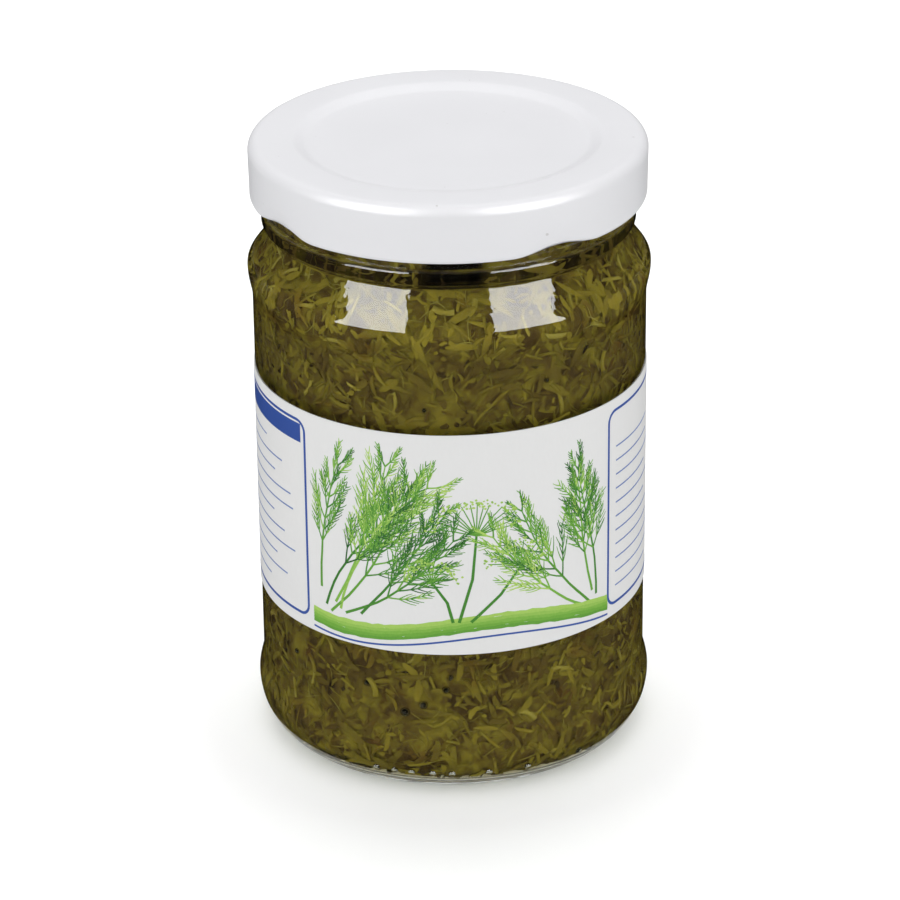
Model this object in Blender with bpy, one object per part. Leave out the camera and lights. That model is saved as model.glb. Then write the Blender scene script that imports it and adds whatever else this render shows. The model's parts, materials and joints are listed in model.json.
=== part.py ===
# A small glass jar of chopped dill in brine, closed by a twist-off lid.
# Metres, +Z up. The origin is the centre of the ring that the jar stands on.
# The front of the label faces -Y.
import math
import random

import bmesh
import bpy
from mathutils import Matrix, Vector

MM = 0.001
SIDES = 48  # facets round every turned piece, so that nested pieces stay evenly clear of each other
FIT_GAP = 0.3  # clear space between pieces that touch in the real jar

# Glass jar, in millimetres
BEARING_IN_R, BEARING_OUT_R = 25.6, 28.5
PUNT_HEIGHT = 2.0
HEEL_R, HEEL_Z = 34.15, 8.4
PANEL_R, PANEL_LOW_Z, PANEL_HIGH_Z = 33.2, 13.2, 79.8
SHOULDER_R, SHOULDER_Z = 34.0, 84.9
SLOPE = [(33.78, 86.0), (33.1, 86.95), (32.0, 88.4), (30.65, 90.7)]  # outside of the shoulder, down to up
INNER_SLOPE = [(31.5, 85.5), (30.9, 86.3), (29.35, 88.5), (28.15, 90.8)]
NECK_R, NECK_Z = 30.15, 91.7
BEAD_R, BEAD_LOW_Z, BEAD_HIGH_Z = 31.45, 92.7, 95.4
FINISH_R = 30.3
RIM_Z = 105.1
MOUTH_R = 27.9
WALL = 2.4
FLOOR_Z, FLOOR_RISE = 2.0, 1.5

# Thread: four short ramps on the glass that the lid's lugs slide under
LUGS = 4
LUG_PHASE = -57.0
THREAD_R = 31.55
THREAD_LEAD = 6.4  # rise of the lid in one full turn
THREAD_BEFORE, THREAD_AFTER = 10.0, 55.0  # degrees of ramp each side of a lug when the lid is shut
THREAD_DEPTH = 1.7

# Twist-off lid
LID_R = 33.4
LID_TOP_Z = 107.2
LID_FOOT_Z = 97.35
SHEET = 0.5
LID_CORNER = 1.8
STEP_OUT_R, STEP_IN_R, STEP_DEPTH = 26.2, 23.2, 0.9
CURL_IN_R, CURL_HEIGHT = 31.95, 1.5
LUG_IN_R, LUG_HALF_ANGLE, DENT_HALF_ANGLE = 30.75, 7.0, 12.0
SEAL_THICKNESS = 1.0
SEAL_IN_R, SEAL_OUT_R = 27.4, 31.2

# Paper label
LABEL_IN_R, LABEL_OUT_R = 33.4, 33.6
LABEL_LOW_Z, LABEL_HIGH_Z = 27.1, 67.4
LABEL_SEAM_STEP = 12  # the facet at the back that the label leaves bare

# Contents
BRINE_FILM = 0.7
BRINE_LEVEL_Z = 97.2
DILL_RELIEF = 0.95
DILL_TOP_Z = 96.9
DILL_BITS_ROUND, DILL_BITS_AT_ENDS = 170, 26
DILL_SEED = 7


def material(name, colour, roughness, metallic=0.0, alpha=1.0, transmission=0.0):
    made = bpy.data.materials.new(name)
    made.use_nodes = True
    made.diffuse_color = (*colour, alpha)
    shader = made.node_tree.nodes["Principled BSDF"]
    shader.inputs["Base Color"].default_value = (*colour, 1.0)
    shader.inputs["Roughness"].default_value = roughness
    shader.inputs["Metallic"].default_value = metallic
    shader.inputs["Alpha"].default_value = alpha
    shader.inputs["Transmission Weight"].default_value = transmission
    return made


def arc(centre_r, centre_z, radius_r, radius_z, first, last, points):
    """Points along an ellipse in the turning plane, from angle first to angle last in degrees."""
    turns = [math.radians(first + (last - first) * i / (points - 1)) for i in range(points)]
    return [(centre_r + radius_r * math.cos(a), centre_z + radius_z * math.sin(a)) for a in turns]


def ease(start, end, points):
    """An S-curve in the turning plane that leaves both ends upright. The start itself is left out."""
    path = []
    for i in range(1, points + 1):
        t = i / points
        across = (end[0] - start[0]) * t * t * (3 - 2 * t)
        path.append((start[0] + across, start[1] + (end[1] - start[1]) * t))
    return path


def new_object(name, mesh_builder, look):
    mesh = bpy.data.meshes.new(name)
    mesh_builder.normal_update()
    mesh_builder.to_mesh(mesh)
    mesh_builder.free()
    mesh.materials.append(look)
    made = bpy.data.objects.new(name, mesh)
    bpy.context.scene.collection.objects.link(made)
    return made


def turned(name, outline, look, sides=SIDES):
    """Spins a closed outline of (radius, height) points round Z. Points on the axis close it there."""
    build = bmesh.new()
    corners = [build.verts.new((r * MM, 0, z * MM)) for r, z in outline]
    on_axis = outline[0][0] == 0 and outline[-1][0] == 0
    pairs = list(zip(corners, corners[1:]))
    if not on_axis:
        pairs.append((corners[-1], corners[0]))
    edges = [build.edges.new(pair) for pair in pairs]
    bmesh.ops.spin(
        build, geom=corners + edges, cent=(0, 0, 0), axis=(0, 0, 1), dvec=(0, 0, 0),
        angle=math.tau, steps=sides, use_merge=True, use_normal_flip=False, use_duplicate=False,
    )
    bmesh.ops.remove_doubles(build, verts=build.verts, dist=1e-6)
    bmesh.ops.recalc_face_normals(build, faces=build.faces)
    made = new_object(name, build, look)
    made.data.shade_smooth()
    made.data.set_sharp_from_angle(angle=math.radians(35))
    return made


def lofted(name, loops, look):
    """Bridges a row of loops with the same number of (x, y, z) points each, and caps both ends."""
    build = bmesh.new()
    rings = [[build.verts.new(Vector(p) * MM) for p in loop] for loop in loops]
    count = len(loops[0])
    for low, high in zip(rings, rings[1:]):
        for i in range(count):
            build.faces.new((low[i], low[(i + 1) % count], high[(i + 1) % count], high[i]))
    build.faces.new(rings[0][::-1])
    build.faces.new(rings[-1])
    bmesh.ops.recalc_face_normals(build, faces=build.faces)
    return new_object(name, build, look)


def swept_round(name, sections, look):
    """A solid bent round Z: each section is (angle in degrees, [(radius, height), ...])."""
    loops = []
    for angle, corners in sections:
        c, s = math.cos(math.radians(angle)), math.sin(math.radians(angle))
        loops.append([(r * c, r * s, z) for r, z in corners])
    return lofted(name, loops, look)


def fuse(body, pieces, solver, operation="UNION"):
    """Joins pieces to body, or cuts them from it, with one applied Boolean. The pieces are then removed."""
    group = bpy.data.collections.new(body.name + "_pieces")
    bpy.context.scene.collection.children.link(group)
    for piece in pieces:
        bpy.context.scene.collection.objects.unlink(piece)
        group.objects.link(piece)
    join = body.modifiers.new("join", "BOOLEAN")
    join.operation = operation
    join.operand_type = "COLLECTION"
    join.collection = group
    join.solver = solver
    graph = bpy.context.evaluated_depsgraph_get()
    joined = bpy.data.meshes.new_from_object(body.evaluated_get(graph), depsgraph=graph)
    joined.name = body.name
    body.modifiers.remove(join)
    old = body.data
    body.data = joined
    bpy.data.meshes.remove(old)
    for piece in pieces:
        bpy.data.objects.remove(piece)
    bpy.data.collections.remove(group)


def inner_wall(inset, top):
    """The jar's inside from the middle of its floor up to height top, moved inwards by inset."""
    bore = MOUTH_R - inset
    panel = PANEL_R - WALL - inset
    bulge_low = HEEL_R - WALL + 0.2 - inset
    bulge_high = SHOULDER_R - WALL + 0.2 - inset
    floor = FLOOR_Z + inset
    corner_r, corner_z = 3.8, 5.4
    path = [(0, floor + FLOOR_RISE), (12.0, floor + 0.7 * FLOOR_RISE)]
    path += arc(bulge_low - corner_r, floor + corner_z, corner_r, corner_z, -90, 0, 4)
    path += ease(path[-1], (panel, PANEL_LOW_Z + 1.5), 2)
    path.append((panel, PANEL_HIGH_Z - 1.5))
    path += ease(path[-1], (bulge_high, SHOULDER_Z - 0.9), 2)
    path += [(r - 1.2 * inset, z) for r, z in INNER_SLOPE]
    return path + [(bore, NECK_Z + 0.3), (bore, top)]


def glass_jar(look):
    outline = [(0, PUNT_HEIGHT), (BEARING_IN_R - 1.4, 0.9), (BEARING_IN_R, 0)]
    outline += arc(BEARING_OUT_R, HEEL_Z, HEEL_R - BEARING_OUT_R, HEEL_Z, -90, 0, 6)
    outline += ease((HEEL_R, HEEL_Z), (PANEL_R, PANEL_LOW_Z), 3)
    outline.append((PANEL_R, PANEL_HIGH_Z))
    outline += ease((PANEL_R, PANEL_HIGH_Z), (SHOULDER_R, SHOULDER_Z), 3)
    outline += SLOPE + [(NECK_R, NECK_Z), (NECK_R, NECK_Z + 0.3), (BEAD_R - 0.5, BEAD_LOW_Z)]
    outline += [(BEAD_R, BEAD_LOW_Z + 0.7), (BEAD_R, BEAD_HIGH_Z - 0.7), (BEAD_R - 0.7, BEAD_HIGH_Z)]
    outline.append((FINISH_R, BEAD_HIGH_Z + 0.3))
    lip_r, lip_half = (MOUTH_R + FINISH_R) / 2, (FINISH_R - MOUTH_R) / 2
    outline += arc(lip_r, RIM_Z - 1.0, lip_half, 1.0, 0, 180, 5)
    outline += reversed(inner_wall(0, RIM_Z - 2.0))
    jar = turned("glass_jar", outline, look)
    fuse(jar, [thread_ramp(i, look) for i in range(LUGS)], "EXACT")
    return jar


def thread_ramp(index, look):
    """One helical ramp. Its underside climbs in the direction that opens the lid."""
    shut = LUG_PHASE + index * 360 / LUGS
    lug_top = LID_FOOT_Z + CURL_HEIGHT
    steps = 9
    sections = []
    for i in range(steps + 1):
        offset = -THREAD_BEFORE + (THREAD_BEFORE + THREAD_AFTER) * i / steps
        low = lug_top + FIT_GAP + THREAD_LEAD * offset / 360
        tall = THREAD_R if 0 < i < steps else FINISH_R + 0.35
        sections.append((shut + offset, [
            (FINISH_R - 0.8, low), (tall, low),
            (tall, low + THREAD_DEPTH - 0.8), (FINISH_R - 0.8, low + THREAD_DEPTH),
        ]))
    return swept_round(f"ramp_{index}", sections, look)


def lid(look):
    corner_r = LID_R - LID_CORNER
    top = LID_TOP_Z
    inside_top = top - SHEET
    outline = [(0, top - STEP_DEPTH), (STEP_IN_R, top - STEP_DEPTH), (STEP_OUT_R, top)]
    outline += arc(corner_r, top - LID_CORNER, LID_CORNER, LID_CORNER, 90, 0, 5)
    outline += [(LID_R - 0.1, LID_FOOT_Z + CURL_HEIGHT), (LID_R - 0.3, LID_FOOT_Z + 0.4)]
    outline += [(LID_R - 0.7, LID_FOOT_Z), (CURL_IN_R + 0.3, LID_FOOT_Z), (CURL_IN_R, LID_FOOT_Z + 0.4)]
    outline += [(CURL_IN_R, LID_FOOT_Z + CURL_HEIGHT - 0.3), (LID_R - SHEET - 0.2, LID_FOOT_Z + CURL_HEIGHT)]
    outline += arc(corner_r, top - LID_CORNER, LID_CORNER - SHEET, LID_CORNER - SHEET, 0, 90, 4)
    inside_low = inside_top - STEP_DEPTH
    outline += [(STEP_OUT_R + 0.1, inside_top), (STEP_IN_R + 0.1, inside_low), (0, inside_low)]
    shell = turned("lid", outline, look)
    fuse(shell, [lid_dent(i, look) for i in range(LUGS)], "EXACT", "DIFFERENCE")
    fuse(shell, [lid_lug(i, look) for i in range(LUGS)], "EXACT")
    return shell


def lid_dent(index, look):
    """The hollow left outside the hem where a lug is pressed inwards."""
    middle = LUG_PHASE + index * 360 / LUGS
    sections = []
    for share, depth in ((-1.0, -0.05), (-0.55, 0.8), (0.0, 1.0), (0.55, 0.8), (1.0, -0.05)):
        sections.append((middle + share * DENT_HALF_ANGLE, [
            (LID_R + 0.8, LID_FOOT_Z - 0.5), (LID_R + 0.8, LID_FOOT_Z + 1.8),
            (LID_R + 0.05, LID_FOOT_Z + 1.8), (LID_R - 0.85 * depth, LID_FOOT_Z + 0.9),
            (LID_R - 1.3 * depth, LID_FOOT_Z - 0.5),
        ]))
    return swept_round(f"dent_{index}", sections, look)


def lid_lug(index, look):
    """A stretch of the rolled hem that is pressed inwards, to catch under a ramp of the thread."""
    middle = LUG_PHASE + index * 360 / LUGS
    root_r = CURL_IN_R + 0.2
    sections = []
    for share in (-1.0, -0.6, 0.0, 0.6, 1.0):
        nose_r = LUG_IN_R if abs(share) < 1 else CURL_IN_R - 0.1
        sections.append((middle + share * LUG_HALF_ANGLE, [
            (root_r, LID_FOOT_Z + 0.2), (nose_r + 0.3, LID_FOOT_Z + 0.2), (nose_r, LID_FOOT_Z + 0.6),
            (nose_r, LID_FOOT_Z + CURL_HEIGHT - 0.1), (root_r, LID_FOOT_Z + CURL_HEIGHT - 0.1),
        ]))
    return swept_round(f"lug_{index}", sections, look)


def sealing_ring(look):
    high = LID_TOP_Z - SHEET - FIT_GAP
    low = high - SEAL_THICKNESS
    outline = [(SEAL_IN_R, low + 0.2), (SEAL_IN_R + 0.3, low), (SEAL_OUT_R, low)]
    outline += [(SEAL_OUT_R, high), (SEAL_IN_R, high)]
    return turned("sealing_ring", outline, look)


def label(look):
    """The wrap-round paper strip, whose ends leave one facet of bare glass at the back."""
    wall = [(LABEL_IN_R, LABEL_LOW_Z), (LABEL_OUT_R, LABEL_LOW_Z)]
    wall += [(LABEL_OUT_R, LABEL_HIGH_Z), (LABEL_IN_R, LABEL_HIGH_Z)]
    angles = [(LABEL_SEAM_STEP + 1 + i) * 360 / SIDES for i in range(SIDES)]
    return swept_round("label", [(angle, wall) for angle in angles], look)


def brine(look):
    """The liquid that shows between the glass and the packed dill, open at the top."""
    outside = inner_wall(FIT_GAP, BRINE_LEVEL_Z)
    inside = inner_wall(FIT_GAP + BRINE_FILM, BRINE_LEVEL_Z)
    return turned("brine", outside + inside[::-1], look)


def stem_bit(name, length, width, look):
    """A short length of cut stem with five sides and slanting ends, along X."""
    loops = []
    for end in (-1, 1):
        loop = []
        for i in range(5):
            a = math.tau * i / 5
            slant = 0.3 * width * math.cos(a)
            loop.append((end * length / 2 + slant, width / 2 * math.cos(a), width / 2 * math.sin(a)))
        loops.append(loop)
    return lofted(name, loops, look)


def leaf_bit(name, length, width, look):
    """A shred of feathery leaf, as a flat blade with a bend and drawn-out ends, along X."""
    thick = 0.55
    loops = []
    for along, spread, sideways in ((-0.5, 0.25, 0.3), (-0.1, 1.0, 0.0), (0.5, 0.3, 0.45)):
        x, half, y = along * length, spread * width / 2, sideways * width
        loops.append([(x, y - half, -thick), (x, y + half, -thick), (x, y, thick)])
    return lofted(name, loops, look)


def chopped_dill(look):
    """The packed mass: a core inside the brine, with stems and leaf shreds standing out of it."""
    clear = 2 * FIT_GAP + BRINE_FILM
    core_path = inner_wall(clear + DILL_RELIEF, DILL_TOP_Z - DILL_RELIEF)
    core = turned("chopped_dill", core_path + [(0, DILL_TOP_Z - DILL_RELIEF)], look, SIDES // 2)
    draw = random.Random(DILL_SEED)
    golden = math.pi * (3 - math.sqrt(5))
    wall = [p for p in core_path if p[0] > 20]
    low, high = wall[1][1], wall[-1][1] - 1.0
    bits = []
    for i in range(DILL_BITS_ROUND):
        z = low + (high - low) * (i + 0.5) / DILL_BITS_ROUND
        angle = golden * i + draw.uniform(-0.2, 0.2)
        radius, lean = radius_and_lean(core_path, z)
        around = Matrix.Rotation(angle, 3, "Z")
        place = around @ Vector((radius, 0, z))
        outwards = around @ Vector((math.cos(lean), 0, math.sin(lean)))
        bent = z > PANEL_HIGH_Z or z < PANEL_LOW_Z
        bits.append(one_bit(i, draw, look, 0.5 if bent else 1.0))
        set_bit(bits[-1], place, outwards, draw)
    for i in range(DILL_BITS_AT_ENDS):
        angle, radius = golden * i, (MOUTH_R - 7) * math.sqrt((i + 0.5) / DILL_BITS_AT_ENDS)
        end = (1 if i % 2 else -1) * Vector((0, 0, 1))
        low_end = core_path[0][1] - FLOOR_RISE * radius / core_path[2][0]
        height = DILL_TOP_Z - DILL_RELIEF if i % 2 else low_end
        bits.append(one_bit(DILL_BITS_ROUND + i, draw, look, 1.0))
        set_bit(bits[-1], Vector((radius * math.cos(angle), radius * math.sin(angle), height)), end, draw)
    fuse(core, bits, "MANIFOLD")
    return core


def one_bit(index, draw, look, scale):
    if index % 3 == 0:
        return stem_bit(f"bit_{index}", scale * draw.uniform(4.0, 7.5), draw.uniform(1.1, 1.4), look)
    return leaf_bit(f"bit_{index}", scale * draw.uniform(5.0, 8.0), draw.uniform(2.2, 3.2), look)


def set_bit(bit, place, outwards, draw):
    """Lays a bit flat against the core at a random turn, sunk so that its back is well inside."""
    turn = Matrix.Rotation(draw.uniform(0, math.pi), 4, "Z")
    face = outwards.to_track_quat("Z", "Y").to_matrix().to_4x4()
    bit.matrix_world = Matrix.Translation((place - outwards * 0.05) * MM) @ face @ turn


def radius_and_lean(path, z):
    """The radius of a rising path at height z, and how far its outward side leans up, in radians."""
    for (r0, z0), (r1, z1) in zip(path, path[1:]):
        if z0 <= z <= z1 and z1 > z0:
            return r0 + (r1 - r0) * (z - z0) / (z1 - z0), math.atan2(r0 - r1, z1 - z0)
    return path[-1][0], 0.0


def main():
    for old in list(bpy.data.objects):
        bpy.data.objects.remove(old, do_unlink=True)
    glass = material("clear_glass", (0.86, 0.92, 0.88), 0.03, alpha=0.35, transmission=0.9)
    enamel = material("white_enamel", (0.86, 0.86, 0.88), 0.3)
    compound = material("sealing_compound", (0.82, 0.8, 0.72), 0.6)
    paper = material("label_paper", (0.85, 0.86, 0.87), 0.45)
    liquid = material("brine", (0.42, 0.38, 0.1), 0.05, alpha=0.4, transmission=0.8)
    herb = material("chopped_dill", (0.13, 0.11, 0.02), 0.55)
    jar = glass_jar(glass)
    label(paper).parent = jar
    brine(liquid).parent = jar
    chopped_dill(herb).parent = jar
    lid_axis = bpy.data.objects.new("lid_axis", None)
    bpy.context.scene.collection.objects.link(lid_axis)
    lid(enamel).parent = lid_axis
    sealing_ring(compound).parent = lid_axis


main()
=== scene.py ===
import json
import math
import random

import bmesh
import bpy
import numpy as np
from mathutils import Matrix, Vector, noise

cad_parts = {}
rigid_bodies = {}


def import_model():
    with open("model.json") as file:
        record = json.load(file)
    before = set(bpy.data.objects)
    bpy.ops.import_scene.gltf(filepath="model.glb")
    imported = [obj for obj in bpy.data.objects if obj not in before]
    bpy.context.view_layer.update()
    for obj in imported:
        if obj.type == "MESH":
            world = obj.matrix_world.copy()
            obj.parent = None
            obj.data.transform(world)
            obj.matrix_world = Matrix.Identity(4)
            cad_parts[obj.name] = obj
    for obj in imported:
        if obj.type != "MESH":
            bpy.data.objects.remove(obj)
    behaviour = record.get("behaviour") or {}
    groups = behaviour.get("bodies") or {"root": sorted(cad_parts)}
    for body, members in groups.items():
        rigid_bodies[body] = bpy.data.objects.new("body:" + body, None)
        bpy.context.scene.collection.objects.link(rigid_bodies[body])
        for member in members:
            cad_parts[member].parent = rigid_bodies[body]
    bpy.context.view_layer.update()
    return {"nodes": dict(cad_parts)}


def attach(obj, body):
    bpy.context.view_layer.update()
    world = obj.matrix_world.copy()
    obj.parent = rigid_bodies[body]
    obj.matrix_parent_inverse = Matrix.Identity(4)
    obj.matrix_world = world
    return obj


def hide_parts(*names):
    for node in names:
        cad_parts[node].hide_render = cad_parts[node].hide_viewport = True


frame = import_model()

MM = 0.001

# Sizes in millimetres, after those in the part's source. Angles are in degrees.
BEARING_IN_R, BEARING_OUT_R = 25.6, 28.5
PUNT_HEIGHT = 2.0
HEEL_R, HEEL_Z = 34.15, 8.4
PANEL_R, PANEL_LOW_Z, PANEL_HIGH_Z = 33.28, 13.2, 79.8
SHOULDER_R, SHOULDER_Z = 34.0, 84.9
NECK_R, NECK_Z = 30.15, 91.7
SLOPE = [
    (33.97, 85.5), (33.78, 86.0), (33.4, 86.55), (32.78, 87.35), (32.0, 88.4), (31.3, 89.5), (30.65, 90.7)]
INNER_SLOPE = [
    (31.75, 84.9), (31.5, 85.5), (30.9, 86.3), (30.05, 87.4), (29.35, 88.5), (28.7, 89.7), (28.15, 90.8)]
BEAD_R, BEAD_LOW_Z, BEAD_HIGH_Z = 31.45, 92.7, 95.4
FINISH_R, RIM_Z, MOUTH_R = 30.3, 105.1, 27.9
WALL = 2.4
FLOOR_Z, FLOOR_RISE = 2.0, 1.5
LUGS, LUG_PHASE = 4, -57.0
THREAD_R, THREAD_LEAD, THREAD_DEPTH = 31.55, 6.4, 1.7
THREAD_BEFORE, THREAD_AFTER = 10.0, 55.0
HEEL_DOTS = (
    -113.4, -107.7, -102.6, -96.4, -90.8, -80.0, -68.3, -50.7, 52.0, 64.0, 70.0, 88.0, 100.0, 106.0, 118.0)
DOT_R, DOT_Z, DOT_TILT, DOT_HALF, DOT_RISE = 33.47, 4.4, -20.0, 0.62, 0.48
LID_R, LID_TOP_Z, LID_FOOT_Z, SHEET, LID_CORNER = 33.4, 107.2, 97.35, 0.5, 1.8
STEP_OUT_R, STEP_IN_R, STEP_DEPTH = 26.2, 23.2, 0.9
CURL_IN_R, CURL_HEIGHT, LUG_IN_R = 31.95, 1.5, 30.75
LUG_REACH, PRESS_HEIGHT, SKIRT_DIP, HEM_LIFT = 15.0, 5.0, 0.9, 1.0
LABEL_IN_R, LABEL_OUT_R, LABEL_LOW_Z, LABEL_HIGH_Z = 33.32, 33.45, 27.1, 67.4
LABEL_SEAM, LABEL_SEAM_WIDTH = 93.75, 7.5
BRINE_LEVEL_Z, DILL_TOP_Z = 97.2, 96.9
# Bubbles in the brine: angle, height, radius
BUBBLES = [
    (-118.0, 19.0, 0.6), (-105.5, 14.5, 0.85), (-99.6, 16.2, 0.75), (-92.5, 19.2, 0.7), (-91.0, 21.6, 0.55),
    (-147.0, 19.8, 0.5), (-98.0, 71.0, 0.4), (-60.0, 74.5, 0.45), (38.0, 17.0, 0.55), (96.0, 15.0, 0.6),
    (150.0, 72.0, 0.5)]
BUBBLE_GAP = 0.06
# The hollow under the bead at the front, which is also painted dark, and the strip of painted shade below the
# bead.
HOLLOW_ANGLE, HOLLOW_HALF, HOLLOW_LOW_Z, HOLLOW_HIGH_Z, HOLLOW_DEPTH = -88.2, 10.8, 91.2, 97.0, 2.6
SHADED_HIGH_Z, SHADED_SHARE = 94.2, 0.75
GROUND_Z, BEARING_SIGHT_R, HEEL_SIGHT_R, GROUND_R = -0.05, 27.4, 33.6, 3000

# Heights that finishes read, in metres
RIPPLES_FROM, RIPPLES_OVER = 0.0855, 0.003
# Where the painted light and shade on the dill bits begins and over what height it changes, then where the
# painted glow on the floor round the jar begins and over what distance it fades.
PAINTED_LIGHT_FROM, PAINTED_LIGHT_OVER = 0.070, 0.030
GLOW_FROM, GLOW_OVER = 0.028, 0.036

# Lights and steps of refraction
# UNDER_GLOW is no lamp: it is the strength of the painted glow of the floor under the jar.
WINDOW_POWER, OVERHEAD_POWER, WORLD_LIGHT, UNDER_GLOW = 43.0, 3.2, 1.16, 0.35
GLASS_IOR, BRINE_IOR, NO_STEP = 1.5, 1.34, 1.001


def colour(red, green, blue):
    """A colour given as 0 to 255 per channel, as a linear one for a shader."""
    linear = [((c / 255 + 0.055) / 1.055) ** 2.4 if c > 10 else c / 255 / 12.92 for c in (red, green, blue)]
    return (*linear, 1.0)


def shades(*rows):
    """The stops of a ramp, from rows of a place and a colour's three channels."""
    return [(place, colour(*channels)) for place, *channels in rows]


def grey(light):
    return (light, light, light, 1)


def limited(value):
    """A value kept from 0 to 1."""
    return min(1.0, max(0.0, value))


def polar(degrees, r, z):
    """A point at an angle round the jar's axis, a radius and a height."""
    a = math.radians(degrees)
    return Vector((r * math.cos(a), r * math.sin(a), z))


class Wire:
    """One output of a node. Sums of wires add the Math nodes that work them out."""

    def __init__(self, graph, socket):
        self.graph, self.socket = graph, socket

    def other(self, name):
        return Wire(self.graph, self.socket.node.outputs[name])

    def maths(self, operation, first, second=0.0, clamp=False):
        return self.graph.node(
            "ShaderNodeMath", {"operation": operation, "use_clamp": clamp}, {0: first, 1: second})

    def __add__(self, other):
        return self.maths("ADD", self, other)

    def __radd__(self, other):
        return self.maths("ADD", other, self)

    def __sub__(self, other):
        return self.maths("SUBTRACT", self, other)

    def __rsub__(self, other):
        return self.maths("SUBTRACT", other, self)

    def __mul__(self, other):
        return self.maths("MULTIPLY", self, other)

    def __rmul__(self, other):
        return self.maths("MULTIPLY", other, self)

    def __truediv__(self, other):
        return self.maths("DIVIDE", self, other)

    def __gt__(self, other):
        return self.maths("GREATER_THAN", self, other)

    def clamped(self):
        return self.maths("ADD", self, 0.0, clamp=True)


class Graph:
    """A node tree, for a finish or for a piece that is made by a rule."""

    def __init__(self, tree):
        self.tree = tree

    def node(self, kind, settings=None, sockets=None, out=0):
        made = self.tree.nodes.new(kind)
        for key, value in (settings or {}).items():
            if key == "stops":
                ramp = made.color_ramp
                while len(ramp.elements) < len(value):
                    ramp.elements.new(0.5)
                for element, (place, shade) in zip(ramp.elements, value):
                    element.position = place
                    element.color = shade
            else:
                setattr(made, key, value)
        for key, value in (sockets or {}).items():
            if isinstance(value, Wire):
                self.tree.links.new(value.socket, made.inputs[key])
            else:
                made.inputs[key].default_value = value
        return Wire(self, made.outputs[out]) if made.outputs else None

    def mix(self, share, first, second, blend="MIX"):
        settings = {"data_type": "RGBA", "blend_type": blend}
        return self.node("ShaderNodeMix", settings, {0: share, 6: first, 7: second}, out=2)

    def ramp(self, value, *stops):
        return self.node("ShaderNodeValToRGB", {"stops": stops}, {0: value})

    def speckle(self, where, scale, detail=4.0, roughness=0.55, stretch=(1, 1, 1)):
        """Noise on the piece's own coordinates; scale counts its blotches in a metre."""
        spread = self.node("ShaderNodeMapping", None, {"Vector": where, "Scale": stretch})
        values = {"Vector": spread, "Scale": scale, "Detail": detail, "Roughness": roughness}
        return self.node("ShaderNodeTexNoise", None, values)

    def height(self, where):
        return self.node("ShaderNodeSeparateXYZ", None, {0: where}).other("Z")

    def carried(self, name):
        """A number that the mesh carries at each point."""
        settings = {"attribute_name": name, "attribute_type": "GEOMETRY"}
        return self.node("ShaderNodeAttribute", settings).other("Fac")


class Finish(Graph):
    """A material with one Principled shader."""

    def __init__(self, name, **plain):
        self.material = bpy.data.materials.new(name)
        self.material.use_nodes = True
        super().__init__(self.material.node_tree)
        self.shader = self.tree.nodes["Principled BSDF"]
        for key, value in plain.items():
            self.shader.inputs[key.replace("_", " ")].default_value = value

    def place(self):
        return self.node("ShaderNodeTexCoord").other("Object")

    def feed(self, socket, wire):
        self.tree.links.new(wire.socket, self.shader.inputs[socket])

    def bump(self, height, distance):
        values = {"Height": height, "Distance": distance, "Strength": 1.0}
        self.feed("Normal", self.node("ShaderNodeBump", None, values))


# Finishes


def clear_glass(name="clear_glass", step=GLASS_IOR):
    """Glass that bends light by the given step: that to air, or a smaller one where the brine wets it."""
    look = Finish(name, Roughness=0.0, IOR=step, Transmission_Weight=1.0)
    where = look.place()
    tint = look.speckle(where, 30.0, 2.0)
    look.feed("Base Color", look.mix(tint, (0.97, 1.0, 0.98, 1), (0.985, 1.0, 0.99, 1)))
    swells = look.speckle(where, 120.0, 1.0, 0.5, (1, 1, 0.6))
    waves = swells + 0.1 * look.speckle(where, 420.0, 1.0, 0.5, (1, 1, 2.5))
    near_neck = ((look.height(where) - RIPPLES_FROM) / RIPPLES_OVER).clamped()
    ripples = look.speckle(where, 650.0, 1.0, 0.6) * near_neck
    look.bump(waves + 0.6 * ripples, 0.00006)
    return look.material


def yellow_brine(name="yellow_brine", step=BRINE_IOR):
    """The liquid. Against the glass it has no step of its own, because the wetted glass has it."""
    look = Finish(name, Roughness=0.0, IOR=step, Transmission_Weight=1.0)
    where = look.place()
    cloud = look.speckle(where, 90.0, 3.0)
    look.feed("Base Color", look.mix(cloud, (0.97, 0.95, 0.80, 1), (0.99, 0.98, 0.88, 1)))
    return look.material


def packed_dill():
    look = Finish("packed_dill", Specular_IOR_Level=0.04)
    where = look.place()
    bend = look.speckle(where, 180.0, 3.0)
    warped = look.node("ShaderNodeVectorMath", {"operation": "MULTIPLY_ADD"}, {
        0: bend.other("Color"), 1: (0.009, 0.009, 0.009), 2: where})
    patches = look.speckle(warped, 210.0, 2.0, 0.4)
    strands = look.speckle(warped, 700.0, 3.0, 0.6, (1, 1, 0.35))
    mass = 0.7 * patches + 0.3 * strands
    skin = look.ramp(mass, *shades(
        (0.38, 82, 64, 34), (0.46, 102, 85, 40), (0.53, 121, 106, 42), (0.64, 145, 130, 48)))
    # Painted shade: where the mesh's depth value is high, the mass turns near black. This happens in the hollow
    # under the bead, in the strip below the bead and behind the bubbles.
    look.feed("Base Color", look.mix(look.carried("depth").clamped(), skin, colour(24, 18, 12)))
    look.feed("Roughness", 0.4 + 0.3 * strands)
    look.bump(mass, 0.0006)
    return look.material


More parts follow.
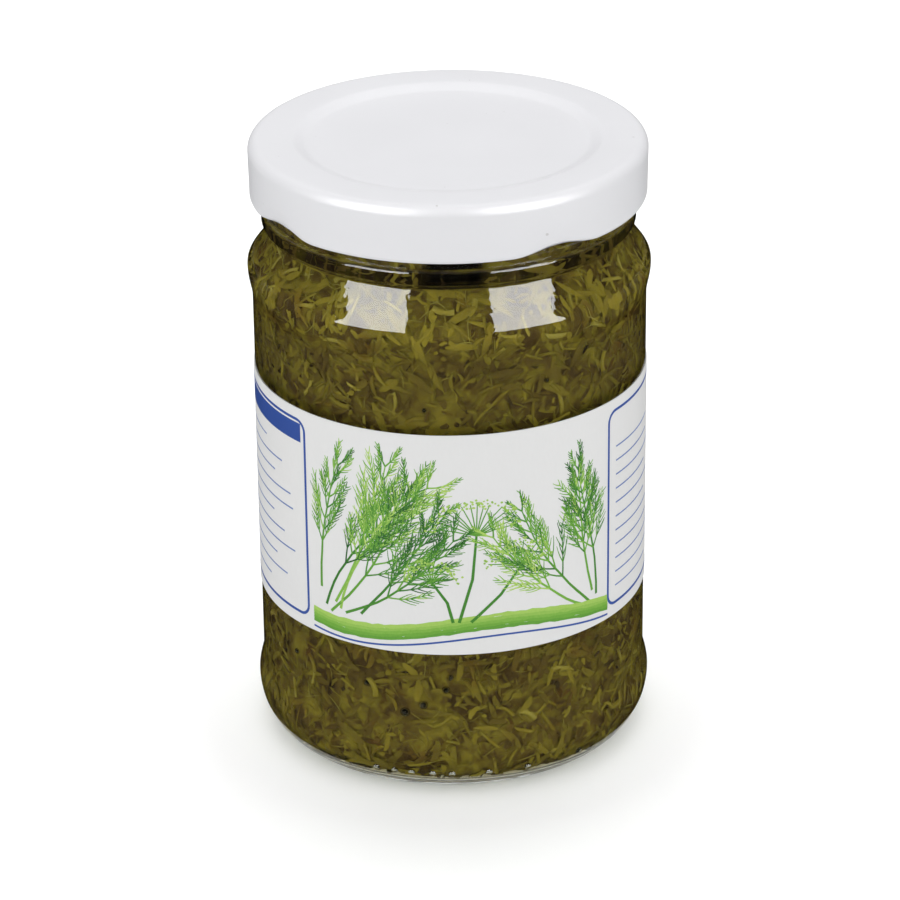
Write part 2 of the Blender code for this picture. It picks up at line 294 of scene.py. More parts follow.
def dill_bits(name, stops, roughness):
    """Wet plant pieces, with little gloss in the brine. Painted light and shade changes how light they are with
    the height: lighter over the shoulder, where light from above falls, and darker in the strip under the bead.
    """
    look = Finish(name, Specular_IOR_Level=0.06)
    where = look.place()
    tone = look.carried("tone")
    patches = look.speckle(where, 230.0, 2.0, 0.5)
    fibres = look.speckle(where, 1700.0, 3.0, 0.6)
    # Painted light and shade by height: lighter over the shoulder, darker in the strip under the bead.
    painted_light_by_height = (
        (0.0, 0.52), (0.3, 0.44), (0.46, 0.86), (0.66, 0.96), (0.71, 0.6), (0.74, 0.12), (0.8, 0.16),
        (0.85, 0.55), (1.0, 0.42))
    climbed = (look.height(where) - PAINTED_LIGHT_FROM) / PAINTED_LIGHT_OVER
    lifted = look.ramp(climbed, *((share, grey(lift)) for share, lift in painted_light_by_height))
    shade = look.ramp(tone + 0.7 * (patches - 0.5) + 0.14 * (fibres - 0.5) + (lifted - 0.5), *stops)
    browned = look.speckle(where, 170.0, 2.0, 0.5)
    shade = look.mix((6.0 * (browned - 0.56)).clamped() * 0.55, shade, colour(112, 78, 34))
    look.feed("Base Color", look.mix((6.0 * (0.42 - browned)).clamped() * 0.35, shade, colour(150, 140, 44)))
    look.feed("Roughness", roughness + 0.25 * fibres)
    look.bump(fibres, 0.0001)
    return look.material


def white_enamel():
    look = Finish("white_enamel", Coat_Roughness=0.31)
    where = look.place()
    broad = look.speckle(where, 40.0, 3.0)
    peel = look.speckle(where, 1400.0, 2.0, 0.5)
    specks = look.speckle(where, 700.0, 1.0, 0.3)
    base = look.mix(broad, colour(220, 220, 223), colour(225, 225, 228))
    look.feed("Base Color", look.mix((specks > 0.82) * 0.35, base, colour(150, 146, 140)))
    look.feed("Roughness", 0.36 + 0.1 * broad)
    look.feed("Coat Weight", 0.2 + 0.1 * peel)
    look.bump(peel, 0.000015)
    return look.material


def label_paper():
    look = Finish("label_paper", Specular_IOR_Level=0.4)
    where = look.place()
    fibres = look.speckle(where, 1900.0, 5.0, 0.7, (1, 1, 0.4))
    broad = look.speckle(where, 55.0, 3.0)
    base = look.mix(broad, colour(220, 220, 220), colour(225, 225, 224))
    look.feed("Base Color", look.mix(0.25 * fibres, base, colour(202, 202, 202)))
    look.feed("Roughness", 0.38 + 0.12 * fibres)
    look.bump(fibres, 0.00002)
    return look.material


def ink(name, stops):
    """Print on the label, whose tone differs from stroke to stroke."""
    look = Finish(name, Specular_IOR_Level=0.4)
    where = look.place()
    grain = look.speckle(where, 2400.0, 3.0)
    look.feed("Base Color", look.ramp(look.carried("tone") + 0.16 * (grain - 0.5), *stops))
    look.feed("Roughness", 0.36 + 0.12 * grain)
    return look.material


def sealing_compound():
    look = Finish("sealing_compound")
    where = look.place()
    grain = look.speckle(where, 600.0, 3.0)
    look.feed("Base Color", look.mix(grain, colour(222, 216, 200), colour(232, 227, 214)))
    look.feed("Roughness", 0.5 + 0.2 * grain)
    look.bump(grain, 0.00005)
    return look.material


# Making of meshes


def meshed(name, build):
    """The mesh that build holds, with its faces pointing outwards."""
    mesh = bpy.data.meshes.new(name)
    bmesh.ops.recalc_face_normals(build, faces=build.faces)
    build.to_mesh(mesh)
    build.free()
    return mesh


def shown(name, data):
    """A new object of the scene."""
    made = bpy.data.objects.new(name, data)
    bpy.context.scene.collection.objects.link(made)
    return made


def finished(name, build, look, sharp=40):
    """A smooth piece, with edges kept sharp from the given angle on, or none where it is 0."""
    mesh = meshed(name, build)
    mesh.materials.append(look)
    mesh.shade_smooth()
    if sharp:
        mesh.set_sharp_from_angle(angle=math.radians(sharp))
    return shown(name, mesh)


def arc(centre_r, centre_z, radius_r, radius_z, first, last, points):
    """Points of an ellipse from one angle to another."""
    turns = [math.radians(first + (last - first) * i / (points - 1)) for i in range(points)]
    return [(centre_r + radius_r * math.cos(a), centre_z + radius_z * math.sin(a)) for a in turns]


def ease(start, end, points):
    """A path that climbs evenly and sets out and arrives upright."""
    path = []
    for i in range(1, points + 1):
        t = i / points
        path.append((
            start[0] + (end[0] - start[0]) * t * t * (3 - 2 * t), start[1] + (end[1] - start[1]) * t))
    return path


def straight(start, end, points):
    share = [i / points for i in range(1, points + 1)]
    return [(start[0] + (end[0] - start[0]) * t, start[1] + (end[1] - start[1]) * t) for t in share]


def rounded_path(points, fine):
    """A smooth curve through the points, as fine steps between each two."""
    path = []
    ends = [points[0]] + points + [points[-1]]
    for a, b, c, d in zip(ends, ends[1:], ends[2:], ends[3:]):
        for k in range(1, fine + 1):
            t = k / fine
            weights = (
                -t + 2 * t * t - t ** 3, 2 - 5 * t * t + 3 * t ** 3, t + 4 * t * t - 3 * t ** 3, t ** 3 - t * t)
            path.append(tuple(sum(w * p[i] for w, p in zip(weights, (a, b, c, d))) / 2 for i in (0, 1)))
    return path


def turn(build, outline, sides, closed, shift=lambda angle, r, z: (r, z)):
    """Spins an outline of (radius, height) in millimetres round Z into build. shift may move each point."""
    rings = []
    for r, z in outline:
        if r == 0:
            rings.append([build.verts.new((0, 0, z * MM))] * sides)
            continue
        ring = []
        for i in range(sides):
            angle = math.tau * i / sides
            radius, height = shift(math.degrees(angle), r, z)
            across, along = radius * MM * math.cos(angle), radius * MM * math.sin(angle)
            ring.append(build.verts.new((across, along, height * MM)))
        rings.append(ring)
    pairs = list(zip(rings, rings[1:]))
    if closed:
        pairs.append((rings[-1], rings[0]))
    for low, high in pairs:
        for i in range(sides):
            j = (i + 1) % sides
            corners = list(dict.fromkeys((low[i], low[j], high[j], high[i])))
            if len(corners) > 2:
                build.faces.new(corners)


def loft(build, loops):
    """Bridges loops of Vectors in millimetres into one closed body in build."""
    rings = [[build.verts.new(p * MM) for p in loop] for loop in loops]
    count = len(loops[0])
    for low, high in zip(rings, rings[1:]):
        for i in range(count):
            build.faces.new((low[i], low[(i + 1) % count], high[(i + 1) % count], high[i]))
    build.faces.new(rings[0][::-1])
    build.faces.new(rings[-1])


def inner_wall(inset, top, fine=3):
    """The jar's inside, from the middle of its floor up to height top in its mouth, moved inwards by inset."""
    bore = MOUTH_R - inset
    panel = PANEL_R - WALL - inset
    bulge_low = HEEL_R - WALL + 0.2 - inset
    bulge_high = SHOULDER_R - WALL + 0.2 - inset
    floor = FLOOR_Z + inset
    corner_r, corner_z = 3.8, 5.4
    path = [(0, floor + FLOOR_RISE)] + [
        (r, floor + FLOOR_RISE * (1 - (r / (bulge_low - corner_r)) ** 2))
        for r in np.linspace(3, bulge_low - corner_r - 1, 3 * fine)]
    path += arc(bulge_low - corner_r, floor + corner_z, corner_r, corner_z, -90, 0, 4 * fine)
    path += ease(path[-1], (panel, PANEL_LOW_Z + 1.5), 2 * fine)
    path += straight(path[-1], (panel, PANEL_HIGH_Z - 1.5), 4 * fine)
    path += ease(path[-1], (bulge_high, SHOULDER_Z - 0.9), 2 * fine)
    slope = [(r - 1.2 * inset, z) for r, z in INNER_SLOPE]
    path += rounded_path([path[-1]] + slope + [(bore, NECK_Z + 0.3)], fine)
    return path + straight(path[-1], (bore, top), fine)


INSIDE = np.array([p for p in inner_wall(0, BRINE_LEVEL_Z) if p[0] > 22])


def wall_radius(z):
    """The radius of the jar's inside at a height."""
    return float(np.interp(z, INSIDE[:, 1], INSIDE[:, 0]))


# The glass jar


def make_jar(look, wetted):
    """The glass body with its thread and dots. Inside, where the brine stands, it has the wetted finish."""
    build = bmesh.new()
    outline = [(0, PUNT_HEIGHT)] + straight((0, PUNT_HEIGHT), (BEARING_IN_R - 2.4, 1.5), 3)
    outline += arc(BEARING_IN_R - 1.9, 0.0, 1.9, 1.4, 80, 0, 6)
    outline += arc(BEARING_OUT_R, HEEL_Z, HEEL_R - BEARING_OUT_R, HEEL_Z, -90, 0, 22)
    outline += ease((HEEL_R, HEEL_Z), (PANEL_R, PANEL_LOW_Z), 10)
    outline += straight((PANEL_R, PANEL_LOW_Z), (PANEL_R, PANEL_HIGH_Z), 8)
    outline += ease((PANEL_R, PANEL_HIGH_Z), (SHOULDER_R, SHOULDER_Z), 10)
    outline += rounded_path([(SHOULDER_R, SHOULDER_Z)] + SLOPE + [(NECK_R, NECK_Z)], 4)
    outline += [(NECK_R, NECK_Z + 0.2), (NECK_R + 0.25, NECK_Z + 0.5), (BEAD_R - 0.7, NECK_Z + 0.8)]
    outline += arc(BEAD_R - 0.5, BEAD_LOW_Z + 0.75, 0.5, 0.65, -80, 0, 7)
    outline += arc(BEAD_R - 0.8, BEAD_HIGH_Z - 0.7, 0.8, 0.7, 0, 75, 7)
    outline += [(FINISH_R + 0.02, BEAD_HIGH_Z - 0.03), (FINISH_R, BEAD_HIGH_Z + 0.4)]
    lip_r, lip_half = (MOUTH_R + FINISH_R) / 2, (FINISH_R - MOUTH_R) / 2
    outline += arc(lip_r, RIM_Z - 1.0, lip_half, 1.0, 0, 180, 11)
    outline += reversed(inner_wall(0, RIM_Z - 2.0))
    turn(build, outline, 144, closed=False)
    jar = finished("glass_body", build, look, sharp=0)
    extras = [thread_ramp(i, look) for i in range(LUGS)] + [raised_dots(look)]
    group = bpy.data.collections.new("moulded_marks")
    for extra in extras:
        bpy.context.scene.collection.objects.unlink(extra)
        group.objects.link(extra)
    bpy.context.scene.collection.children.link(group)
    join = jar.modifiers.new("join", "BOOLEAN")
    join.operation, join.operand_type, join.solver, join.collection = "UNION", "COLLECTION", "MANIFOLD", group
    take_result(jar)
    for extra in extras:
        bpy.data.objects.remove(extra)
    bpy.data.collections.remove(group)
    jar.data.shade_smooth()
    jar.data.set_sharp_from_angle(angle=math.radians(50))
    jar.data.materials.clear()
    jar.data.materials.append(look)
    jar.data.materials.append(wetted)
    for face in jar.data.polygons:
        z, r = face.center.z / MM, math.hypot(face.center.x, face.center.y) / MM
        inside = FLOOR_Z - 0.1 < z < BRINE_LEVEL_Z and r < wall_radius(z) + 0.1
        face.material_index = 1 if inside else 0
    return jar


def take_result(made):
    """Puts what an object's modifiers make of it in place of its mesh."""
    graph = bpy.context.evaluated_depsgraph_get()
    mesh = bpy.data.meshes.new_from_object(made.evaluated_get(graph), depsgraph=graph)
    mesh.name = made.name
    made.modifiers.clear()
    old = made.data
    made.data = mesh
    bpy.data.meshes.remove(old)


def thread_ramp(index, look):
    """One ramp of the thread, which lifts a lug as the lid turns."""
    shut = LUG_PHASE + index * 360 / LUGS
    low_edge = LID_FOOT_Z + CURL_HEIGHT + 0.3
    steps, loops = 14, []
    for i in range(steps + 1):
        offset = -THREAD_BEFORE + (THREAD_BEFORE + THREAD_AFTER) * i / steps
        low = low_edge + THREAD_LEAD * offset / 360
        nose = FINISH_R + 0.3 + (THREAD_R - FINISH_R - 0.3) * min(1.0, 3 * math.sin(math.pi * i / steps))
        section = [
            (FINISH_R - 0.8, low), (nose - 0.2, low), (nose, low + 0.25), (nose, low + 0.8),
            (FINISH_R - 0.8, low + THREAD_DEPTH)]
        loops.append([polar(shut + offset, r, z) for r, z in section])
    build = bmesh.new()
    loft(build, loops)
    return finished(f"ramp_{index}", build, look)


def raised_dots(look):
    """The row of small raised dots moulded in the heel."""
    build = bmesh.new()
    tilt = math.radians(DOT_TILT)
    size = Matrix.Diagonal((DOT_HALF * MM, DOT_HALF * MM, DOT_RISE * MM, 1))
    for angle in HEEL_DOTS:
        outwards = polar(angle, math.cos(tilt), math.sin(tilt))
        face = outwards.to_track_quat("Z", "Y").to_matrix().to_4x4()
        place = Matrix.Translation(polar(angle, DOT_R, DOT_Z) * MM) @ face @ size
        bmesh.ops.create_icosphere(build, subdivisions=2, radius=1.0, matrix=place)
    return finished("dots", build, look)


# The filling


def add_ball(build, angle, z, size, inwards, subdivisions):
    """A ball whose middle lies inwards of the inside of the glass."""
    place = Matrix.Translation(polar(angle, wall_radius(z) - inwards, z) * MM)
    made = bmesh.ops.create_icosphere(build, subdivisions=subdivisions, radius=size * MM, matrix=place)
    return list({face for vert in made["verts"] for face in vert.link_faces})


def make_brine(look, at_glass):
    """The liquid fills the jar up to the glass, less a hair, with a few bubbles caught against the wall."""
    build = bmesh.new()
    wall = inner_wall(0.03, BRINE_LEVEL_Z + 0.3)
    surface = [(MOUTH_R - 0.5, BRINE_LEVEL_Z + 0.1), (MOUTH_R - 1.5, BRINE_LEVEL_Z), (0, BRINE_LEVEL_Z)]
    turn(build, wall + surface, 144, closed=False)
    bmesh.ops.recalc_face_normals(build, faces=build.faces)
    for face in build.faces:
        on_top = face.calc_center_median().z > (BRINE_LEVEL_Z - 0.01) * MM and face.normal.z > 0.5
        face.material_index = 0 if on_top else 1
    for angle, z, size in BUBBLES:
        bubble = add_ball(build, angle, z, size, size + BUBBLE_GAP, 3)
        bmesh.ops.reverse_faces(build, faces=bubble)
    mesh = bpy.data.meshes.new("brine_body")
    build.to_mesh(mesh)
    build.free()
    mesh.materials.append(look)
    mesh.materials.append(at_glass)
    mesh.shade_smooth()
    return shown("brine_body", mesh)


def make_core(look):
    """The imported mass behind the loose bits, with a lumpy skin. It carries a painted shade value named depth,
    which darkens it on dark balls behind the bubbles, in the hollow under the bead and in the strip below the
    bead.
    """
    build = bmesh.new()
    top = DILL_TOP_Z - 1.0
    path = [(r + 0.08 * max(0.0, 9 - z), z - 0.08 * max(0.0, 9 - z)) if r > 20 else (r, z - 0.5)
            for r, z in inner_wall(1.15, top, fine=6)]
    path += [(r, top) for r in (24, 20, 16, 12, 8, 4, 0)]
    turn(build, path, 180, closed=False)
    bmesh.ops.recalc_face_normals(build, faces=build.faces)
    build.normal_update()
    for vert in build.verts:
        lump = noise.fractal(vert.co * 420, 0.9, 2.2, 3)
        vert.co += vert.normal * min(0.45, max(-0.6, 0.45 * lump)) * MM
        vert.co -= vert.normal * HOLLOW_DEPTH * MM * in_hollow(vert.co)
    skin = len(build.verts)
    # Dark balls behind the bubbles: painted shade that makes the bubbles' middles look dark.
    for angle, z, size in BUBBLES:
        add_ball(build, angle, z, 0.9 * size, 0.95 * size + BUBBLE_GAP, 2)
    core = finished("dill_core", build, look, sharp=0)
    # Painted shade: 1 on the balls behind the bubbles, the hollow's share in the hollow, and part of the strip
    # under the bead.
    depth = core.data.attributes.new("depth", "FLOAT", "POINT")
    depth.data.foreach_set("value", [
        1.0 if i >= skin else max(in_hollow(vert.co), SHADED_SHARE * under_bead(vert.co.z / MM))
        for i, vert in enumerate(core.data.vertices)])
    return core


def in_hollow(point):
    """How deep a point lies in the hollow under the neck's bead at the front, from 0 to 1."""
    angle, z = math.degrees(math.atan2(point.y, point.x)) - HOLLOW_ANGLE, point.z / MM
    across = limited((HOLLOW_HALF - abs(angle)) / 1.2)
    return across * (limited((z - HOLLOW_LOW_Z) / 0.8) * limited((HOLLOW_HIGH_Z - z) / 0.5))


def under_bead(z):
    """The shaded strip of the filling behind the groove below the bead, from 0 to 1."""
    return limited((z - HOLLOW_LOW_Z) / 0.6) * limited((SHADED_HIGH_Z - z) / 0.6)


def near_bubble(point):
    """Whether a point of the wall lies within reach of a bubble."""
    return any((polar(angle, 32, z) - point / MM).length < size + 2.2 for angle, z, size in BUBBLES)


def bit_shape(name, group, loops):
    """One of the shapes that the scatter picks from."""
    build = bmesh.new()
    loft(build, loops)
    group.objects.link(bpy.data.objects.new(name, meshed(name, build)))


def stem_shapes(draw):
    """Short lengths of cut stem, a little bent, with slanting cuts at their ends."""
    group = bpy.data.collections.new("stem_shapes")
    for i in range(9):
        length, width, bow = draw.uniform(2.6, 5.6), draw.uniform(0.5, 1.0), draw.uniform(-0.45, 0.45)
        slant = draw.uniform(-0.6, 0.6) * width
        loops = []
        for t in (-1.0, -0.45, 0.1, 0.6, 1.0):
            ring = []
            for k in range(6):
                a = math.tau * k / 6
                ring.append(Vector((
                    t * length / 2 + slant * math.cos(a) * t, bow * (1 - t * t) + width / 2 * math.cos(a),
                    0.33 * width * math.sin(a))))
            loops.append(ring)
        bit_shape(f"stem_{i}", group, loops)
    return group


def thread_shapes(draw):
    """Threads of the feathery leaf and loose fibres of stem."""
    group = bpy.data.collections.new("thread_shapes")
    for i in range(12):
        length = draw.uniform(1.2, 4.0)
        width, bow = draw.uniform(0.14, 0.3), draw.uniform(-0.1, 0.1) * length
        loops = []
        for t, fat in ((-1.0, 0.4), (-0.5, 0.9), (0.0, 1.0), (0.5, 0.9), (1.0, 0.3)):
            ring = []
            for k in range(3):
                a = math.tau * k / 3 + 0.6 * t
                ring.append(Vector((
                    t * length / 2, bow * (1 - t * t) + fat * width / 2 * math.cos(a),
                    0.8 * fat * width / 2 * math.sin(a))))
            loops.append(ring)
        bit_shape(f"thread_{i}", group, loops)
    return group


def blade_shapes(draw):
    """Flat scraps of leaf and split stem skin, long and pointed or short and torn."""
    group = bpy.data.collections.new("blade_shapes")
    for i in range(14):
        length = 1.1 + 4.9 * (i / 13) ** 1.6
        width, bow = min(0.75 * length, draw.uniform(0.5, 1.5)), draw.uniform(-0.12, 0.12) * length
        loops = []
        tail, tip = draw.uniform(0.1, 0.6), draw.uniform(0.08, 0.4)
        for t, fat in ((-1.0, tail), (-0.55, 0.8), (0.0, 1.0), (0.5, 0.85), (1.0, tip)):
            half = fat * width / 2 * draw.uniform(0.8, 1.15)
            x, shift = t * length / 2, bow * (1 - t * t) + draw.uniform(-0.1, 0.1)
            loops.append([
                Vector((x, shift - half, 0.0)), Vector((x, shift - 0.1 * half, -0.14)),
                Vector((x, shift + half, 0.04)), Vector((x, shift + 0.1 * half, 0.13))])
        bit_shape(f"blade_{i}", group, loops)
    return group


def scatter_tree():
    """Lays shapes from a collection flat on a surface at random turns, sinks each a little, and realises them."""
    tree = bpy.data.node_groups.new("scatter_bits", "GeometryNodeTree")
    graph = Graph(tree)
    sockets = {}
    for name, kind in (
            ("Surface", "Geometry"), ("Shapes", "Collection"), ("Crowding", "Float"), ("Seed", "Int"),
            ("Smallest", "Float"), ("Largest", "Float"), ("Depth", "Float"), ("Tilt", "Float"),
            ("Finish", "Material")):
        socket = tree.interface.new_socket(name, in_out="INPUT", socket_type=f"NodeSocket{kind}")
        sockets[name] = socket.identifier
    tree.interface.new_socket("Bits", in_out="OUTPUT", socket_type="NodeSocketGeometry")
    given = graph.node("NodeGroupInput")
    share = graph.node("GeometryNodeInputNamedAttribute", {"data_type": "FLOAT"}, {"Name": "share"})
    points = graph.node("GeometryNodeDistributePointsOnFaces", {"distribute_method": "RANDOM"}, {
        "Mesh": given.other("Surface"), "Density": given.other("Crowding") * share, "Seed": given.other("Seed")})
    sink = graph.node("FunctionNodeRandomValue", {"data_type": "FLOAT"}, {
        "Min": 0.0, "Max": given.other("Depth"), "Seed": 11}, out=1)
    inwards = graph.node("ShaderNodeVectorMath", {"operation": "SCALE"}, {
        0: points.other("Normal"), "Scale": sink * -1.0})
    moved = graph.node("GeometryNodeSetPosition", None, {"Geometry": points, "Offset": inwards})
    lean = given.other("Tilt")
    low = graph.node("ShaderNodeCombineXYZ", None, {0: lean * -1.0, 1: lean * -1.0, 2: 0.0})
    high = graph.node("ShaderNodeCombineXYZ", None, {0: lean, 1: lean, 2: math.tau})
    turns = graph.node("FunctionNodeRandomValue", {"data_type": "FLOAT_VECTOR"}, {0: low, 1: high, "Seed": 23})
    local = graph.node("FunctionNodeEulerToRotation", None, {0: turns})
    facing = graph.node("FunctionNodeRotateRotation", {"rotation_space": "LOCAL"}, {
        0: points.other("Rotation"), 1: local})
    size = graph.node("FunctionNodeRandomValue", {"data_type": "FLOAT"}, {
        "Min": given.other("Smallest"), "Max": given.other("Largest"), "Seed": 37}, out=1)
    shapes = graph.node("GeometryNodeCollectionInfo", {"transform_space": "ORIGINAL"}, {
        "Collection": given.other("Shapes"), "Separate Children": True, "Reset Children": True})
    choice = graph.node("FunctionNodeRandomValue", {"data_type": "INT"}, {4: 0, 5: 50, "Seed": 41}, out=2)
    laid = graph.node("GeometryNodeInstanceOnPoints", None, {
        "Points": moved, "Instance": shapes, "Pick Instance": True, "Instance Index": choice,
        "Rotation": facing, "Scale": size})
    own_shade = graph.node("FunctionNodeRandomValue", {"data_type": "FLOAT"}, {
        "Min": 0.28, "Max": 1.0, "Seed": 53}, out=1)
    # Painted shade: bits sunk deeper into the mass are made darker, to stand for depth in the brine.
    shade = own_shade - 0.3 * sink / given.other("Depth")
    toned = graph.node("GeometryNodeStoreNamedAttribute", {"data_type": "FLOAT", "domain": "INSTANCE"}, {
        "Geometry": laid, "Name": "tone", "Value": shade})
    real = graph.node("GeometryNodeRealizeInstances", None, {"Geometry": toned})
    dressed = graph.node("GeometryNodeSetMaterial", None, {
        "Geometry": real, "Material": given.other("Finish")})
    graph.node("NodeGroupOutput", None, {"Bits": dressed})
    return tree, sockets


def scatter_surface(name, inset):
    """The wall and the top that the bits lie on. Fewer of them lie where the label covers the glass."""
    build = bmesh.new()
    top = DILL_TOP_Z - 0.6
    turn(build, inner_wall(inset, top, fine=4) + [(r, top) for r in (22, 15, 8, 0)], 120, closed=False)
    mesh = meshed("scatter_surface", build)
    share = mesh.attributes.new("share", "FLOAT", "FACE")
    values = []
    for face in mesh.polygons:
        z, r = face.center.z / MM, math.hypot(face.center.x, face.center.y) / MM
        covered = LABEL_LOW_Z + 2.5 < z < LABEL_HIGH_Z - 1.0 and face.center.y < 0.031
        kept_clear = in_hollow(face.center) > 0 or near_bubble(face.center)
        values.append(0.0 if kept_clear else 0.12 if covered or r < 24 else 1.0)
    share.data.foreach_set("value", values)
    return shown(name, mesh)


def scattered(name, tree, sockets, group, look, crowding, seed, depth, tilt, inset):
    """A piece of loose bits: crowding counts them in a square millimetre, depth and inset are millimetres."""
    surface = scatter_surface(name, inset)
    rule = surface.modifiers.new("scatter", "NODES")
    rule.node_group = tree
    given = {"Shapes": group, "Crowding": crowding / MM ** 2, "Seed": seed, "Smallest": 0.7, "Largest": 1.1,
             "Depth": depth * MM, "Tilt": tilt, "Finish": look}
    for key, value in given.items():
        rule[sockets[key]] = value
    take_result(surface)
    surface.data.materials.clear()
    surface.data.materials.append(look)
    surface.data.polygons.foreach_set("material_index", [0] * len(surface.data.polygons))
    keep_inside(surface.data)
    surface.data.shade_smooth()
    surface.data.set_sharp_from_angle(angle=math.radians(50))
    return surface


def keep_inside(mesh):
    """Presses in what stands out past the inside of the glass."""
    points = np.empty(len(mesh.vertices) * 3)
    mesh.vertices.foreach_get("co", points)
    points = points.reshape(-1, 3)
    limit = np.interp(points[:, 2] / MM, INSIDE[:, 1], INSIDE[:, 0] - 0.08) * MM
    radius = np.hypot(points[:, 0], points[:, 1])
    points[:, :2] *= np.minimum(1.0, limit / np.maximum(radius, 1e-9))[:, None]
    points[:, 2] = np.clip(points[:, 2], (FLOOR_Z + 0.15) * MM, (BRINE_LEVEL_Z - 0.1) * MM)
    mesh.vertices.foreach_set("co", points.ravel())
    mesh.update()


def make_filling():
    draw = random.Random(5)
    tree, sockets = scatter_tree()
    stems = dill_bits("stem_flesh", shades(
        (0.0, 98, 82, 37), (0.35, 126, 111, 43), (0.7, 147, 132, 50), (1.0, 172, 158, 74)), 0.36)
    threads = dill_bits("leaf_threads", shades(
        (0.0, 92, 76, 34), (0.4, 118, 103, 42), (0.75, 138, 124, 50), (1.0, 160, 148, 70)), 0.36)
    blades = dill_bits("leaf_scraps", shades(
        (0.0, 54, 41, 24), (0.22, 96, 79, 37), (0.6, 121, 106, 43), (1.0, 150, 134, 49)), 0.38)
    made = [
        scattered("leaf_scraps", tree, sockets, blade_shapes(draw), blades, 0.38, 5, 0.85, 0.12, 0.35),
        scattered("cut_stems", tree, sockets, stem_shapes(draw), stems, 0.055, 3, 0.5, 0.1, 0.45),
        scattered("leaf_threads", tree, sockets, thread_shapes(draw), threads, 0.14, 4, 0.7, 0.08, 0.3),
    ]
    for group in list(bpy.data.collections):
        if group.name.endswith("_shapes"):
            for shape in list(group.objects):
                bpy.data.objects.remove(shape)
            bpy.data.collections.remove(group)
    return made


# The lid


def make_lid(look):
    """The lid with its recessed panel, its rolled hem and its lugs, as one spun sheet."""
    top, inside = LID_TOP_Z, LID_TOP_Z - SHEET
    corner_r = LID_R - LID_CORNER
    outline = [(0, top - STEP_DEPTH)] + [(r, top - STEP_DEPTH) for r in (8, 15, 20, 22.4)]
    outline += [(r, top - STEP_DEPTH * (1 - t * t * (3 - 2 * t)))
                for t, r in ((k / 10, STEP_IN_R + (STEP_OUT_R - STEP_IN_R) * k / 10) for k in range(11))]
    outline += [(28.0, top), (30.0, top)]
    outline += arc(corner_r, top - LID_CORNER, LID_CORNER, LID_CORNER, 90, 0, 13)
    skirt_r, curl_top = LID_R - 0.12, LID_FOOT_Z + CURL_HEIGHT
    outline += straight((LID_R, top - LID_CORNER), (skirt_r, LID_FOOT_Z + 2.0), 6)
    outline += straight((skirt_r, LID_FOOT_Z + 2.0), (skirt_r, LID_FOOT_Z + 0.8), 3)
    outline += arc(skirt_r - 0.72, LID_FOOT_Z + 0.75, 0.72, 0.75, 0, -180, 13)
    outline += straight(outline[-1], (CURL_IN_R, curl_top - 0.3), 2)
    outline += [(CURL_IN_R + 0.2, curl_top - 0.05), (LID_R - SHEET - 0.25, curl_top)]
    outline += straight(outline[-1], (LID_R - SHEET, curl_top + 1.2), 2)
    outline += arc(corner_r, top - LID_CORNER, LID_CORNER - SHEET, LID_CORNER - SHEET, 0, 90, 7)
    outline += [(STEP_OUT_R + 0.1, inside), (STEP_IN_R + 0.1, inside - STEP_DEPTH), (0, inside - STEP_DEPTH)]

    def press(angle, r, z):
        """Each lug is the hem pressed inwards, and the skirt above it dips a little."""
        if r < 29 or z > LID_FOOT_Z + PRESS_HEIGHT + 0.5:
            return r, z
        off = min(abs((angle - LUG_PHASE - 360 * k / LUGS + 180) % 360 - 180) for k in range(LUGS))
        wide = 0.5 + 0.5 * math.cos(math.pi * min(1.0, off / LUG_REACH))
        fade = limited((LID_FOOT_Z + PRESS_HEIGHT - z) / PRESS_HEIGHT)
        fade *= fade
        if r > CURL_IN_R + 0.75:
            return r - SKIRT_DIP * wide * fade, z + HEM_LIFT * wide * fade
        near = limited((8.0 - off) / 2.5) if z < curl_top + 0.05 else 0.0
        lifted = HEM_LIFT * wide * fade if z < LID_FOOT_Z + 0.9 else 0.0
        return r - (CURL_IN_R - LUG_IN_R) * near * limited((CURL_IN_R + 0.75 - r) / 0.7), z + lifted

    build = bmesh.new()
    turn(build, outline, 240, closed=False, shift=press)
    return finished("twist_off_lid", build, look, sharp=60)


# The label


def on_label(along, height, lift):
    """A point of the label: along is round from its front middle, height from its lower edge."""
    a = along / LABEL_OUT_R - math.pi / 2
    r = LABEL_OUT_R + lift
    return Vector((r * math.cos(a), r * math.sin(a), LABEL_LOW_Z + height)) * MM


def make_label(look):
    """A strip of paper round the jar, with a bare seam at its back."""
    build = bmesh.new()
    steps = 220
    first = LABEL_SEAM + LABEL_SEAM_WIDTH / 2
    section = [
        (LABEL_IN_R, LABEL_LOW_Z), (LABEL_OUT_R, LABEL_LOW_Z), (LABEL_OUT_R, LABEL_HIGH_Z),
        (LABEL_IN_R, LABEL_HIGH_Z)]
    loft(build, [
        [polar(first + (360 - LABEL_SEAM_WIDTH) * i / steps, r, z) for r, z in section]
        for i in range(steps + 1)])
    return finished("paper_label", build, look, sharp=30)


def close_steps(points, widths, longest=1.0):
    """The same stroke in short steps, so that it follows the round of the label."""
    dense, fat = [points[0]], [widths[0]]
    for (x0, y0), (x1, y1), w0, w1 in zip(points, points[1:], widths, widths[1:]):
        parts = max(1, math.ceil(abs(x1 - x0) / longest))
        for k in range(1, parts + 1):
            dense.append((x0 + (x1 - x0) * k / parts, y0 + (y1 - y0) * k / parts))
            fat.append(w0 + (w1 - w0) * k / parts)
    return dense, fat


